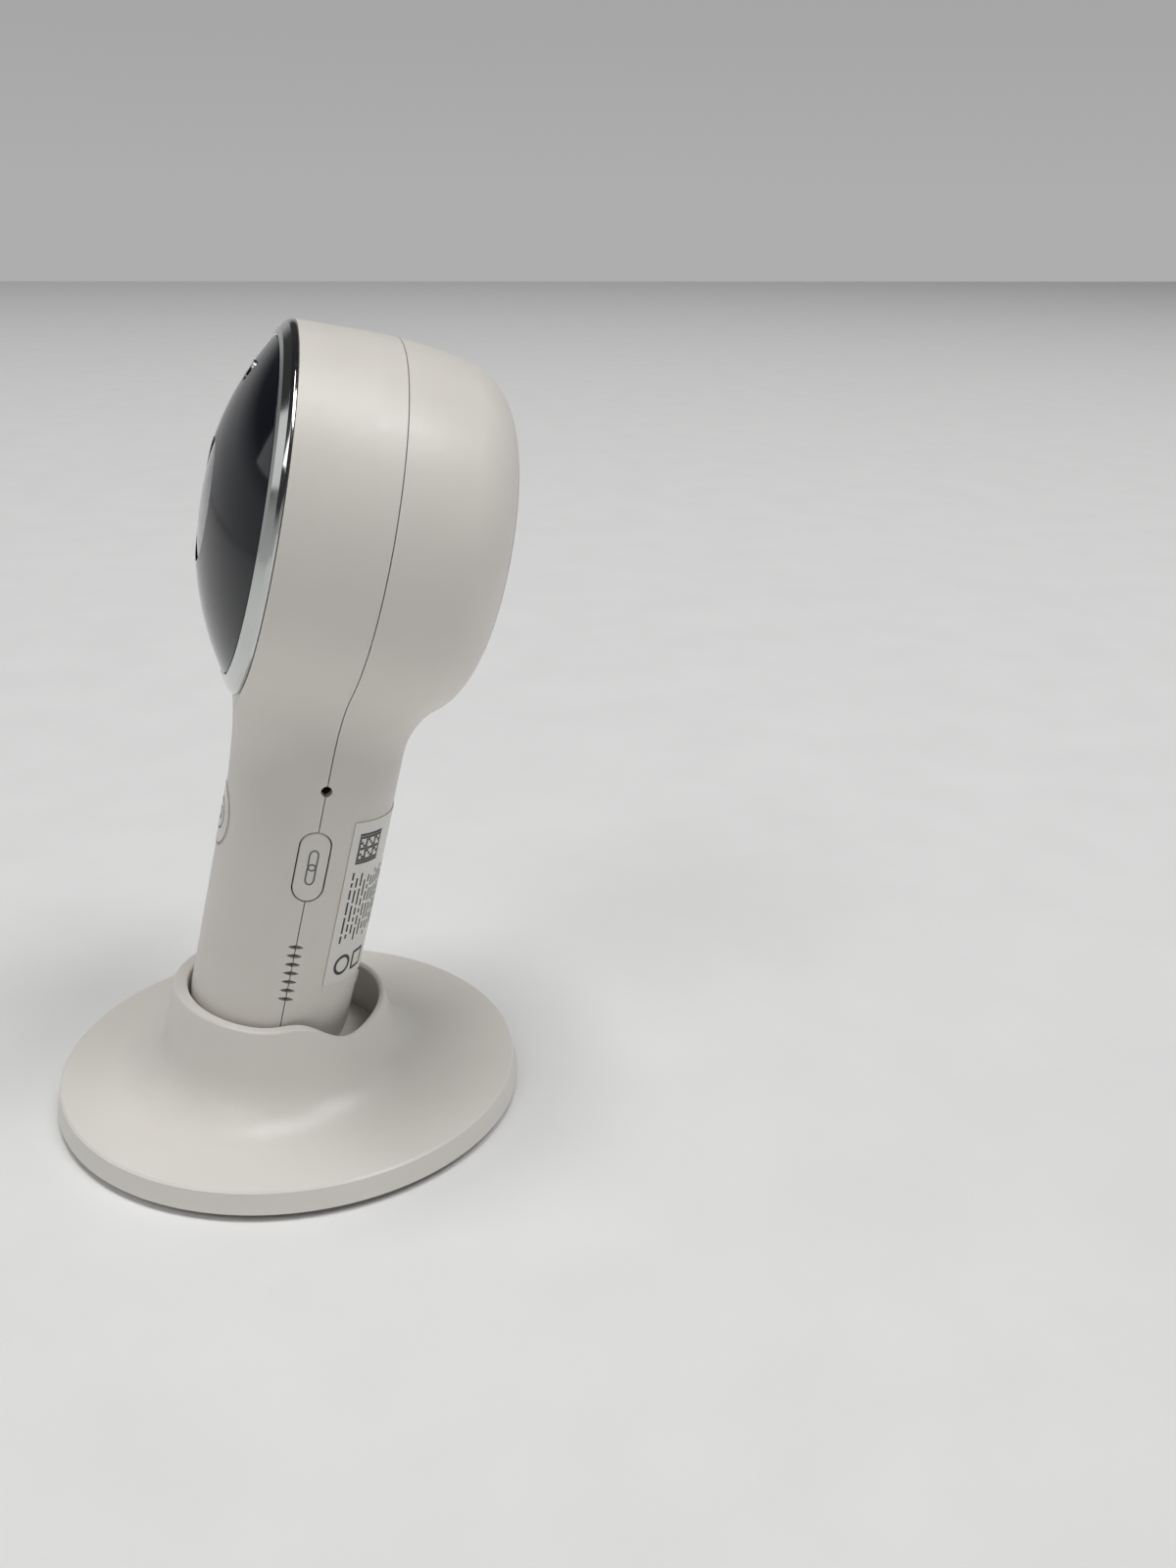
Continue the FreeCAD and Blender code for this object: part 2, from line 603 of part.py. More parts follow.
stem_board = block((1.2, 17, 42), (8.2, 0, 38.0))
keep(stem_board, "stem_board", CAMERA)
switch_body = block((2.4, 6, 6), (10.0, 0, d.button_rise))
switch_cap = cylinder(1.7, plunger_end - d.button_travel - 11.2, (11.2, 0, d.button_rise), X_AXIS)
keep(fuse(switch_body, switch_cap), "tact_switch", CAMERA)
keep(cylinder(2.0, 1.6, (8.8, 0, d.mic_rise), X_AXIS), "microphone", CAMERA)
boot = cut(cylinder(3.0, 5.0, (9.2, 0, d.mic_rise), X_AXIS),
           cylinder(2.05, 1.3, (9.1, 0, d.mic_rise), X_AXIS),
           cylinder(0.8, 6, (9.0, 0, d.mic_rise), X_AXIS))
keep(boot, "microphone_boot", CAMERA)
sensor_legs = [block((4.0, 0.5, 0.5), (10.8, -0.5, 16.9)), block((0.5, 0.5, 4.0), (13.0, -0.5, 15.1))]
keep(fuse(sphere(1.1, (13.2, 0, 13.0)), *sensor_legs), "temperature_sensor", CAMERA)
keep(block((8.0, 0.3, 9.0), (2.0, 3.2, 62.6)), "ribbon_cable", CAMERA)
connectors = group([block((10.0, 1.8, 2.4), (2.0, 4.3, 66.5)), block((1.5, 4.0, 4.0), (6.8, 3.4, 56.0))])
keep(connectors, "ribbon_connectors", CAMERA)

power_board = block((10, 5.6, 1.0), (0, 9.4, d.socket_rise - 1.9))
keep(power_board, "power_board", CAMERA)
socket_shell = block((7.6, 6.0, 2.8), (0, 12.2, d.socket_rise))
socket_inside = block((6.9, 5.4, 2.1), (0, 12.7, d.socket_rise))
keep(cut(socket_shell, socket_inside), "power_socket", CAMERA)
keep(block((3.6, 3.6, 0.6), (0, 11.8, d.socket_rise + 0.1)), "socket_tongue", CAMERA)

screw_head = cylinder(2.3, 1.4, (0, d.stem_deep - 3.15, 19.0), Y_AXIS)
keep(fuse(screw_head, cylinder(0.85, 17.2, (0, -5.0, 19.0), Y_AXIS)), "housing_screw", CAMERA)

# ---- Tilt hinge ------------------------------------------------------------------------------
cheeks = [block((2.4, 10.0, 10.4), (side * 6.0, 0, 3.0)) for side in (-1, 1)]
bridge = block((14.4, 10.0, 2.0), (0, 0, 9.2))
yoke_tabs = block((26.0, 5.0, 2.0), (0, -3.0, 9.2))
yoke = cut(fuse(*cheeks, bridge, yoke_tabs), cylinder(d.pin_radius + d.pin_play, 20, (-10, 0, 0), X_AXIS))
keep(yoke, "hinge_yoke", CAMERA)

def on_axis(radius, length, start):
    """A cylinder on the tilt axis, from a distance along X."""
    return cylinder(radius, length, (start, -d.pivot_ahead, d.pivot_height), X_AXIS)


keep(fuse(on_axis(d.pin_radius, 17.6, -8.6), on_axis(3.4, 1.4, -9.0)), "tilt_pin")
keep(cut(on_axis(3.4, 0.8, 7.5), on_axis(d.pin_radius, 2, 7.0)), "retaining_clip")
washers = [cut(on_axis(4.2, 0.5, start), on_axis(d.pin_radius, 3, start - 1)) for start in (-4.6, 4.1)]
keep(group(washers), "friction_washers")
screw_spots = [(side * 6.2, -d.pivot_ahead) for side in (-1, 1)]
web = block((8.2, 7.0, 12.4), (0, -d.pivot_ahead, d.cup_floor + 6.2))
flange_foot = block((16.0, 9.0, 1.8), (0, -d.pivot_ahead, d.cup_floor + 0.9))
post_holes = [cylinder(1.0, 6, (*spot, d.cup_floor - 1)) for spot in screw_spots]
hinge_post = cut(fuse(on_axis(4.4, 8.2, -4.1), web, flange_foot), on_axis(d.pin_radius, 10, -5), *post_holes)
keep(hinge_post, "hinge_post")
post_screws = []
for spot in screw_spots:
    at = (*spot, d.cup_floor - 3.8)
    post_screws.append(fuse(cylinder(0.95, 5.4, at), cylinder(2.2, 1.4, at)))
keep(group(post_screws), "post_screws")

# ---- Base ------------------------------------------------------------------------------------
def flare_profile(offset, low, high):
    """The collar's outer wall about its own axis: concave flare, then a drafted wall."""
    lean = math.radians(d.collar_lean)
    centre = Vector(d.flare_reach, d.plate_top + d.flare_radius, 0)
    radius = d.flare_radius + offset
    foot = centre + Vector(0, -radius, 0)
    middle = centre + Vector(-radius * math.sin(math.radians(38)), -radius * math.cos(math.radians(38)), 0)
    wall = centre + Vector(-radius * math.cos(lean), -radius * math.sin(lean), 0)
    tip = Vector(wall.x - (high - wall.y) * math.tan(lean), high, 0)
    edges = [
        Part.Arc(foot, middle, wall),
        Part.LineSegment(wall, tip),
        Part.LineSegment(tip, Vector(0, high, 0)),
        Part.LineSegment(Vector(0, high, 0), Vector(0, low, 0)),
        Part.LineSegment(Vector(0, low, 0), Vector(foot.x, low, 0)),
        Part.LineSegment(Vector(foot.x, low, 0), foot),
    ]
    face = wire_face(edges)
    face.rotate(Vector(0, 0, 0), SIDEWAYS, 90)
    return face.revolve(Vector(0, 0, 0), Vector(0, 0, 1), 360).translated(Vector(0, -d.collar_setback, 0))


def turned_plate(corners):
    edges = []
    points = [Vector(x, 0, z) for x, z in corners]
    for index, point in enumerate(points):
        edges.append(Part.LineSegment(point, points[(index + 1) % len(points)]))
    return wire_face(edges).revolve(Vector(0, 0, 0), Vector(0, 0, 1), 360)


def above_lip():
    """Everything above the collar's lip: high in front, an S step down behind the stem's sides."""
    step_start, step_end = 1.2, 9.0
    nodes = [Vector(0, -26, d.collar_front + 0.4), Vector(0, -20, d.collar_front), Vector(0, -10, 23.1),
             Vector(0, -3.5, d.collar_side), Vector(0, step_start, d.collar_side - 0.1),
             Vector(0, (step_start + step_end) / 2, (d.collar_side + d.collar_rear) / 2),
             Vector(0, step_end, d.collar_rear + 0.1), Vector(0, 14, d.collar_rear),
             Vector(0, 26, d.collar_rear)]
    curve = Part.BSplineCurve()
    curve.interpolate(nodes)
    top = 60.0
    rear_top, front_top = Vector(0, 26, top), Vector(0, -26, top)
    edges = [curve, Part.LineSegment(nodes[-1], rear_top), Part.LineSegment(rear_top, front_top),
             Part.LineSegment(front_top, nodes[0])]
    return wire_face(edges).extrude(Vector(80, 0, 0)).translated(Vector(-40, 0, 0))


def cup_space():
    """The cup round the stem's foot: it hugs the stem in front and widens smoothly behind."""
    outline = []
    for step in range(7):
        angle = math.radians(-30.0 * step)
        outline.append(Vector((d.stem_wide + d.mouth_gap) * math.cos(angle),
                              -d.pivot_ahead + (d.stem_deep + d.mouth_gap) * math.sin(angle), d.cup_floor))
    for step in range(6):
        angle = math.radians(150.0 - 24.0 * step)
        outline.append(Vector(d.cup_radius * math.cos(angle),
                              -d.collar_setback + d.cup_radius * math.sin(angle), d.cup_floor))
    curve = Part.BSplineCurve()
    curve.interpolate(outline, True)
    return Part.Face(Part.Wire(curve.toShape())).extrude(Vector(0, 0, 30))


plate = turned_plate([
    (0, d.shell_lift), (d.rim_radius - 0.4, d.shell_lift), (d.foot_radius, d.shell_lift + 0.9),
    (d.rim_radius, d.plate_top - 0.35), (d.rim_radius - 0.4, d.plate_top), (0, d.plate_top),
])
hollow = turned_plate([
    (0, 0), (d.rim_radius - d.base_wall, 0), (d.rim_radius - d.base_wall, d.plate_top - d.base_wall),
    (0, d.plate_top - d.base_wall),
])
cup_under = Part.makeCylinder(18.6, 6.5, Vector(0, -d.collar_setback, 0))
base_form = plate.fuse(flare_profile(0.0, 3.0, 26.0)).cut([cup_space(), above_lip()])
lip_edges = [edge for edge in base_form.Edges if edge.BoundBox.ZMin > 15.5]
base_form = base_form.makeFillet(0.6, lip_edges)
boss_spots = around(16.0, 4, 45.0)
bosses = [Part.makeCylinder(3.2, 6.0, Vector(x, y - d.collar_setback, 2.5)) for x, y in boss_spots]
base_form = base_form.cut([hollow, cup_under]).fuse([boss.common(cup_under.fuse(hollow)) for boss in bosses])
pilots = [Part.makeCylinder(0.95, 5.2, Vector(x, y - d.collar_setback, 2.0)) for x, y in boss_spots]
foot_screw_holes = [Part.makeCylinder(1.1, 4, Vector(*spot, d.cup_floor - 3)) for spot in screw_spots]
base_form = base_form.cut(pilots + foot_screw_holes).removeSplitter()
keep_shape(base_form, "base_shell")

cover = new_body("bottom_cover")
cover_sketch = new_sketch(cover, "XY_Plane", d.shell_lift)
draw_circle(cover_sketch, d.rim_radius - d.base_wall - 0.2)
for x, y in boss_spots:
    draw_circle(cover_sketch, 1.3, (x, y - d.collar_setback))
pad(cover, cover_sketch, 1.7)
doc.recompute()
pads = around(35.0, 4, 45.0)
seat_sketch = new_sketch(cover, "XY_Plane", 0.0)
for x, y in pads:
    draw_circle(seat_sketch, 5.1, (x, y))
pocket_up(cover, seat_sketch, d.shell_lift + 0.5)
sink_sketch = new_sketch(cover, "XY_Plane", 0.0)
for x, y in boss_spots:
    draw_circle(sink_sketch, 2.6, (x, y - d.collar_setback))
pocket_up(cover, sink_sketch, d.shell_lift + 0.9)
keep(cover, "bottom_cover")
keep(group([cylinder(5.0, 1.1, (x, y, 0)) for x, y in pads]), "rubber_feet")
base_screws = []
for x, y in boss_spots:
    head = cylinder(2.4, 0.8, (x, y - d.collar_setback, d.shell_lift + 0.1))
    base_screws.append(fuse(head, cylinder(0.9, 5.4, (x, y - d.collar_setback, d.shell_lift + 0.9))))
keep(group(base_screws), "base_screws")
weight = new_body("ballast_plate")
weight_sketch = new_sketch(weight, "XY_Plane", 2.35)
draw_circle(weight_sketch, 40.5)
draw_circle(weight_sketch, 21.5)
pad(weight, weight_sketch, 1.2)
keep(weight, "ballast_plate")

# ---- Check and write -------------------------------------------------------------------------
doc.recompute()
for item in doc.Objects:
    if "Invalid" in item.State or "Error" in item.State:
        raise RuntimeError(f"{item.Name} ({item.Label}) failed: {item.State}")
for item in subparts:
    if item.Shape.isNull() or not item.Shape.isValid() or not item.Shape.Solids:
        raise RuntimeError(f"{item.Label} has no valid solid")
os.makedirs("parts", exist_ok=True)
for item in subparts:
    item.Shape.exportStep(f"parts/{item.Label}.step")
    box = item.Shape.BoundBox
    print(f"{item.Label}: {len(item.Shape.Solids)} solid(s), {item.Shape.Volume:.1f} mm3, "
          f"z {box.ZMin:.2f} to {box.ZMax:.2f}")
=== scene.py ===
"""Baby monitor camera: the looks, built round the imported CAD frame."""

import math

import bmesh
import bpy
from mathutils import Euler, Matrix, Vector


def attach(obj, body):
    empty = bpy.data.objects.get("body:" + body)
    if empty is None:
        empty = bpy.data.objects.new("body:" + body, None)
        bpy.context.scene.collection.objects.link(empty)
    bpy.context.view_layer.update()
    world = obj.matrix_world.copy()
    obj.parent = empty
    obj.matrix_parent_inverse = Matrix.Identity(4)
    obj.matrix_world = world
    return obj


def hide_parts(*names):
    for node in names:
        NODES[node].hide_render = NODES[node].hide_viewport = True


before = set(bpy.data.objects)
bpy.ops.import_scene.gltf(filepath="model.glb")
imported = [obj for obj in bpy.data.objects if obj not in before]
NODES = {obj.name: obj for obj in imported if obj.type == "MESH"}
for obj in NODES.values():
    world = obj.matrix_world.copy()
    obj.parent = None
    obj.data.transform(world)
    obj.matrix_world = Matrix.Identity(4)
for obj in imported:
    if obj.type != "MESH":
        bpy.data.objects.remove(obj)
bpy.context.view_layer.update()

MM = 0.001
scene = bpy.context.scene

# ---- Frames and sizes, millimetres unless said --------------------------------------------------
TILT = math.radians(13.3)
PIVOT = Vector((0.0, -2.98, 21.0))
HEAD_RISE = 91.8
STEM_WIDE, STEM_DEEP = 16.8, 15.3
CAMERA = Matrix.Translation(PIVOT) @ Matrix.Rotation(-TILT, 4, "X")
HEAD = CAMERA @ Matrix.Translation((0, 0, HEAD_RISE)) @ Matrix.Rotation(math.radians(90), 4, "X")
BACK = HEAD @ Matrix.Rotation(math.radians(180), 4, "Y")
DOME_RADIUS, DOME_REACH, DOME_SKIN, PORT_SETBACK = 55.0, 28.0, 1.8, 0.35
DOME_CENTRE = HEAD @ Vector((0, 0, DOME_REACH - DOME_RADIUS))
BUTTON_RISE, BUTTON_WIDE, BUTTON_LONG = 33.6, 5.6, 13.4
BADGE_RISE, BADGE_EDGE = 35.4, 5.78
LABEL_EDGE, LABEL_CELL = 8.3, 0.56
BACK_REACH, COVER_RADIUS, COVER_THICK = 21.6, 19.3, 1.3
SCREW_RISE = 19.0
COLLAR_SETBACK = 2.0


# ---- Materials ----------------------------------------------------------------------------------
def new_material(name, **values):
    """A Principled material. Uniform values are set on the shader's own sockets."""
    material = bpy.data.materials.new(name)
    material.use_nodes = True
    shader = material.node_tree.nodes["Principled BSDF"]
    for key, value in values.items():
        shader.inputs[key.replace("_", " ")].default_value = value
    return material


def add(material, kind, **values):
    node = material.node_tree.nodes.new(kind)
    for key, value in values.items():
        if key in node.inputs:
            node.inputs[key].default_value = value
        else:
            setattr(node, key, value)
    return node


def link(material, source, output, target, socket):
    material.node_tree.links.new(source.outputs[output], target.inputs[socket])


def noise(material, scale, detail=2.0, roughness=0.5):
    place = material.node_tree.nodes.get("Place") or add(material, "ShaderNodeTexCoord", name="Place")
    texture = add(material, "ShaderNodeTexNoise", Scale=scale, Detail=detail, Roughness=roughness)
    link(material, place, "Object", texture, "Vector")
    return texture


def spread(material, source, output, low, high, socket):
    """Drive one shader socket from a texture, between two values."""
    shader = material.node_tree.nodes["Principled BSDF"]
    span = add(material, "ShaderNodeMapRange")
    span.inputs["From Min"].default_value = 0.3
    span.inputs["From Max"].default_value = 0.7
    span.inputs["To Min"].default_value = low
    span.inputs["To Max"].default_value = high
    link(material, source, output, span, "Value")
    link(material, span, "Result", shader, socket)


def two_tone(material, source, first, second, low=0.35, high=0.65):
    """Colour variation between two close tones."""
    shader = material.node_tree.nodes["Principled BSDF"]
    ramp = add(material, "ShaderNodeValToRGB")
    ramp.color_ramp.elements[0].position = low
    ramp.color_ramp.elements[1].position = high
    ramp.color_ramp.elements[0].color = (*first, 1)
    ramp.color_ramp.elements[1].color = (*second, 1)
    link(material, source, "Fac", ramp, "Fac")
    link(material, ramp, "Color", shader, "Base Color")
    return ramp


def grain(material, source, depth, strength=1.0):
    """A fine bump, with its depth in metres."""
    shader = material.node_tree.nodes["Principled BSDF"]
    bump = add(material, "ShaderNodeBump", Strength=strength, Distance=depth)
    link(material, source, "Fac", bump, "Height")
    link(material, bump, "Normal", shader, "Normal")


def moulded(name, first, second, rough=(0.4, 0.5), depth=0.00001, scale=5200.0, **values):
    """Moulded plastic: soft clouding in its colour, a fine eroded grain and uneven gloss."""
    material = new_material(name, **values)
    two_tone(material, noise(material, 38.0, 3.0), first, second)
    spread(material, noise(material, 420.0, 3.0), "Fac", *rough, "Roughness")
    grain(material, noise(material, scale, 3.0, 0.6), depth)
    return material


def metal(name, first, second, rough, scale=900.0, depth=0.000002):
    material = new_material(name, Metallic=1.0)
    two_tone(material, noise(material, 60.0, 2.0), first, second)
    spread(material, noise(material, scale, 4.0, 0.6), "Fac", *rough, "Roughness")
    grain(material, noise(material, scale * 3, 2.0), depth)
    return material


SHELL = moulded("shell_plastic", (0.738, 0.707, 0.655), (0.763, 0.732, 0.68), (0.33, 0.43), 0.000012)
FOOT = moulded("foot_plastic", (0.75, 0.724, 0.674), (0.776, 0.75, 0.70), (0.3, 0.4), 0.000016)
CAP = moulded("button_plastic", (0.745, 0.717, 0.672), (0.77, 0.742, 0.697), (0.3, 0.4), 0.000008)
BADGE = moulded("badge_plastic", (0.738, 0.71, 0.665), (0.758, 0.73, 0.685), (0.26, 0.34), 0.000004)
FILM = moulded("label_film", (0.79, 0.765, 0.72), (0.82, 0.795, 0.75), (0.32, 0.42), 0.000003, 2600.0)
INK = moulded("print_ink", (0.035, 0.035, 0.038), (0.055, 0.055, 0.058), (0.45, 0.6), 0.000002)
PALE_INK = moulded("pale_ink", (0.12, 0.12, 0.125), (0.16, 0.16, 0.165), (0.45, 0.6), 0.000002)
CHROME = metal("bright_trim", (0.56, 0.575, 0.565), (0.63, 0.645, 0.635), (0.07, 0.13), 500.0, 0.0000004)
STEEL = metal("plated_steel", (0.55, 0.55, 0.56), (0.66, 0.66, 0.67), (0.22, 0.36))
GOLD = metal("contact_gold", (0.72, 0.52, 0.22), (0.8, 0.6, 0.28), (0.2, 0.3))
WINDOW = moulded("window_black", (0.004, 0.0055, 0.0095), (0.0065, 0.008, 0.0135), (0.06, 0.10),
                 0.0000003, 300.0, Coat_Weight=0.12, Coat_Roughness=0.04, Specular_IOR_Level=0.36)
BLACK = moulded("black_plastic", (0.010, 0.010, 0.011), (0.016, 0.016, 0.017), (0.42, 0.55), 0.000008)
RUBBER = moulded("soft_rubber", (0.035, 0.035, 0.035), (0.05, 0.05, 0.05), (0.7, 0.85), 0.00002, 2600.0)
NYLON = moulded("grey_nylon", (0.11, 0.11, 0.115), (0.15, 0.15, 0.155), (0.5, 0.62), 0.00001)
CREAM = moulded("cream_plastic", (0.66, 0.6, 0.47), (0.72, 0.66, 0.53), (0.4, 0.5), 0.000006)
CABLE = moulded("flat_cable", (0.6, 0.6, 0.58), (0.68, 0.68, 0.66), (0.35, 0.45), 0.000004)
BOARD = moulded("circuit_board", (0.012, 0.085, 0.035), (0.02, 0.12, 0.05), (0.3, 0.42), 0.000012, 900.0)
RESIN = moulded("sensor_resin", (0.012, 0.010, 0.012), (0.02, 0.017, 0.02), (0.1, 0.16), 0.000001)
IRON = moulded("ballast_iron", (0.06, 0.06, 0.065), (0.09, 0.09, 0.095), (0.5, 0.68), 0.00004, 700.0,
               Metallic=0.6)
ANODISED = metal("black_anodised", (0.018, 0.018, 0.019), (0.028, 0.028, 0.03), (0.3, 0.42), 1400.0)
PORT = moulded("port_glass", (0.30, 0.31, 0.34), (0.34, 0.35, 0.38), (0.01, 0.03), 0.0000002, 200.0,
               Transmission_Weight=0.92, IOR=1.5, Coat_Weight=0.3)
LENS = moulded("lens_glass", (0.35, 0.30, 0.5), (0.42, 0.37, 0.58), (0.0, 0.02), 0.0000001, 200.0,
               Transmission_Weight=0.85, IOR=1.6, Coat_Weight=1.0, Coat_Tint=(0.6, 0.5, 1.0, 1.0))


def paint(item, material):
    item.data.materials.clear()
    item.data.materials.append(material)
    return item


# ---- Mesh helpers -------------------------------------------------------------------------------
def finish_mesh(name, bm, body, material, node=(), sharp=30.0, weighted=True):
    """Turn a bmesh into a piece: smooth shading with sharp edges kept, on a body, with the CAD node it
    stands in for hidden.
    """
    bmesh.ops.recalc_face_normals(bm, faces=bm.faces)
    for face in bm.faces:
        face.smooth = True
    limit = math.radians(sharp)
    for edge in bm.edges:
        edge.smooth = len(edge.link_faces) == 2 and edge.calc_face_angle(0.0) < limit
    mesh = bpy.data.meshes.new(name)
    bm.to_mesh(mesh)
    bm.free()
    if "custom_normal" in mesh.attributes:
        mesh.attributes.remove(mesh.attributes["custom_normal"])
    piece = bpy.data.objects.new(name, mesh)
    scene.collection.objects.link(piece)
    if weighted:
        modifier = piece.modifiers.new("Normals", "WEIGHTED_NORMAL")
        modifier.keep_sharp = True
        modifier.weight = 60
    paint(piece, material)
    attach(piece, body)
    if node:
        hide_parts(*([node] if isinstance(node, str) else node))
    return piece


def polished(node, name, body, material, sharp=30.0):
    """A CAD node's form with its seams between faces closed up, for clean shading."""
    bm = bmesh.new()
    bm.from_mesh(NODES[node].data)
    bmesh.ops.remove_doubles(bm, verts=bm.verts, dist=1e-6)
    return finish_mesh(name, bm, body, material, node, sharp)


def rounded(corners, steps=5):
    """A closed outline with each corner (x, y, radius) turned into an arc."""
    outline = []
    count = len(corners)
    for index, (x, y, radius) in enumerate(corners):
        here = Vector((x, y))
        before = Vector(corners[index - 1][:2]) - here
        after = (Vector(corners[(index + 1) % count][:2]) - here)
        if radius <= 0:
            outline.append(here)
            continue
        half = before.angle(after) / 2
        reach = min(radius / math.tan(half), before.length * 0.49, after.length * 0.49)
        start, end = here + before.normalized() * reach, here + after.normalized() * reach
        for step in range(steps + 1):
            t = step / steps
            outline.append(start * (1 - t) ** 2 + here * 2 * t * (1 - t) + end * t ** 2)
    return outline


def lathe(outline, place, turns=192):
    """A closed outline of (radius, height) turned about the frame's Z axis, as a bmesh."""
    bm = bmesh.new()
    rings = []
    for radius, height in outline:
        if radius < 1e-6:
            rings.append([bm.verts.new(place @ Vector((0, 0, height)) * MM)])
            continue
        ring = []
        for step in range(turns):
            angle = 2 * math.pi * step / turns
            point = Vector((radius * math.cos(angle), radius * math.sin(angle), height))
            ring.append(bm.verts.new(place @ point * MM))
        rings.append(ring)
    for first, second in zip(rings, rings[1:] + rings[:1]):
        for step in range(turns):
            after = (step + 1) % turns
            corners = [first[step % len(first)], first[after % len(first)],
                       second[after % len(second)], second[step % len(second)]]
            unique = list(dict.fromkeys(corners))
            if len(unique) > 2:
                bm.faces.new(unique)
    return bm


def pill_points(width, length, steps=16):
    """A rounded bar's outline, its length along the second axis."""
    radius, straight = width / 2, (length - width) / 2
    points = []
    for step in range(2 * steps + 2):
        upper = step <= steps
        angle = math.pi * (step if upper else step - 1) / steps
        lift = straight if upper else -straight
        points.append((radius * math.cos(angle), lift + radius * math.sin(angle)))
    return points


def plate_with_holes(name, outlines, thick, edge, place):
    """A flat plate with rounded edges: the first outline is its rim, the rest are its holes."""
    curve = bpy.data.curves.new(name, "CURVE")
    curve.dimensions = "2D"
    curve.fill_mode = "BOTH"
    for outline in outlines:
        spline = curve.splines.new("POLY")
        spline.points.add(len(outline) - 1)
        for point, (x, y) in zip(spline.points, outline):
            point.co = (x * MM, y * MM, 0, 1)
        spline.use_cyclic_u = True
    curve.extrude = (thick / 2 - edge) * MM
    curve.bevel_depth = edge * MM
    curve.bevel_resolution = 3
    curve.offset = -edge * MM
    holder = bpy.data.objects.new(name, curve)
    scene.collection.objects.link(holder)
    mesh = bpy.data.meshes.new_from_object(holder.evaluated_get(bpy.context.evaluated_depsgraph_get()))
    bpy.data.objects.remove(holder)
    bpy.data.curves.remove(curve)
    scaled = Matrix.Scale(MM, 4) @ place @ Matrix.Scale(1 / MM, 4)
    mesh.transform(scaled)
    bm = bmesh.new()
    bm.from_mesh(mesh)
    bmesh.ops.remove_doubles(bm, verts=bm.verts, dist=1e-7)
    bpy.data.meshes.remove(mesh)
    return bm


def on_stem(sideways, rise, out):
    """A point on the stem's +X side: a distance round it from the seam (backwards positive), a
    height above the tilt axis, and a distance out from its surface."""
    angle = sideways / ((STEM_WIDE + STEM_DEEP) / 2)
    for _ in range(3):
        middle = angle / 2
        pace = math.hypot(STEM_WIDE * math.sin(middle), STEM_DEEP * math.cos(middle))
        angle = sideways / pace
    surface = Vector((STEM_WIDE * math.cos(angle), STEM_DEEP * math.sin(angle), rise))
    normal = Vector((math.cos(angle) / STEM_WIDE, math.sin(angle) / STEM_DEEP, 0)).normalized()
    return CAMERA @ (surface + normal * out) * MM


def on_front(sideways, rise, out):
    """The same on the stem's front: a distance round it from the middle."""
    angle = -math.pi / 2 + sideways / STEM_WIDE
    surface = Vector((STEM_WIDE * math.cos(angle), STEM_DEEP * math.sin(angle), rise))
    normal = Vector((math.cos(angle) / STEM_WIDE, math.sin(angle) / STEM_DEEP, 0)).normalized()
    return CAMERA @ (surface + normal * out) * MM


def patch(bm, where, low, high, base, proud, pieces=6):
    """A thin printed rectangle laid on a curved surface."""
    rows = []
    for step in range(pieces + 1):
        side = low[0] + (high[0] - low[0]) * step / pieces
        rows.append([bm.verts.new(where(side, rise, out)) for rise, out in
                     ((low[1], base), (low[1], proud), (high[1], proud), (high[1], base))])
    for first, second in zip(rows, rows[1:]):
        for index in range(4):
            after = (index + 1) % 4
            bm.faces.new([first[index], first[after], second[after], second[index]])
    bm.faces.new(rows[0])
    bm.faces.new(rows[-1][::-1])


def stroke(bm, where, line, width, base, proud, closed=True):
    """A thin printed line that follows points (sideways, rise) on a curved surface."""
    count = len(line)
    rows = []
    for index, (x, y) in enumerate(line):
        before = Vector(line[index - 1] if closed or index else line[0])
        after = Vector(line[(index + 1) % count] if closed or index < count - 1 else line[-1])
        along = (after - before).normalized()
        side = Vector((-along.y, along.x)) * width / 2
        left, right = Vector((x, y)) + side, Vector((x, y)) - side
        rows.append([bm.verts.new(where(*point, out)) for point, out in
                     ((left, base), (left, proud), (right, proud), (right, base))])
    pairs = list(zip(rows, rows[1:])) + ([(rows[-1], rows[0])] if closed else [])
    for first, second in pairs:
        for index in range(4):
            after = (index + 1) % 4
            bm.faces.new([first[index], first[after], second[after], second[index]])
    if not closed:
        bm.faces.new(rows[0])
        bm.faces.new(rows[-1][::-1])


def circle_points(radius, centre=(0.0, 0.0), count=48):
    return [(centre[0] + radius * math.cos(2 * math.pi * step / count),
             centre[1] + radius * math.sin(2 * math.pi * step / count)) for step in range(count)]


def square_points(half, centre, steps=6):
    """A square outline, its sides divided so that they bend round the stem."""
    corners = [(-half, -half), (half, -half), (half, half), (-half, half)]
    points = []
    for (x, y), (next_x, next_y) in zip(corners, corners[1:] + corners[:1]):
        for step in range(steps):
            share = step / steps
            points.append((centre[0] + x + (next_x - x) * share, centre[1] + y + (next_y - y) * share))
    return points


def true_normals(piece, centre, radii):
    """Exact shading normals on the parts of a piece that lie on spheres about one centre."""
    mesh = piece.data
    middle = centre * MM
    normals = []
    for polygon in mesh.polygons:
        reach = [(mesh.vertices[index].co - middle).length / MM for index in polygon.vertices]
        on_one = any(max(abs(value - radius) for value in reach) < 0.012 for radius in radii)
        for index in polygon.vertices:
            out = (mesh.vertices[index].co - middle).normalized()
            flip = 1.0 if out.dot(polygon.normal) > 0 else -1.0
            follows = on_one and abs(out.dot(polygon.normal)) > 0.9
            normals.append(out * flip if follows else polygon.normal)
    mesh.normals_split_custom_set(normals)
    return piece


# ---- Camera housings ----------------------------------------------------------------------------
polished("front_housing", "front_shell", "camera", SHELL)
polished("rear_housing", "rear_shell", "camera", SHELL)

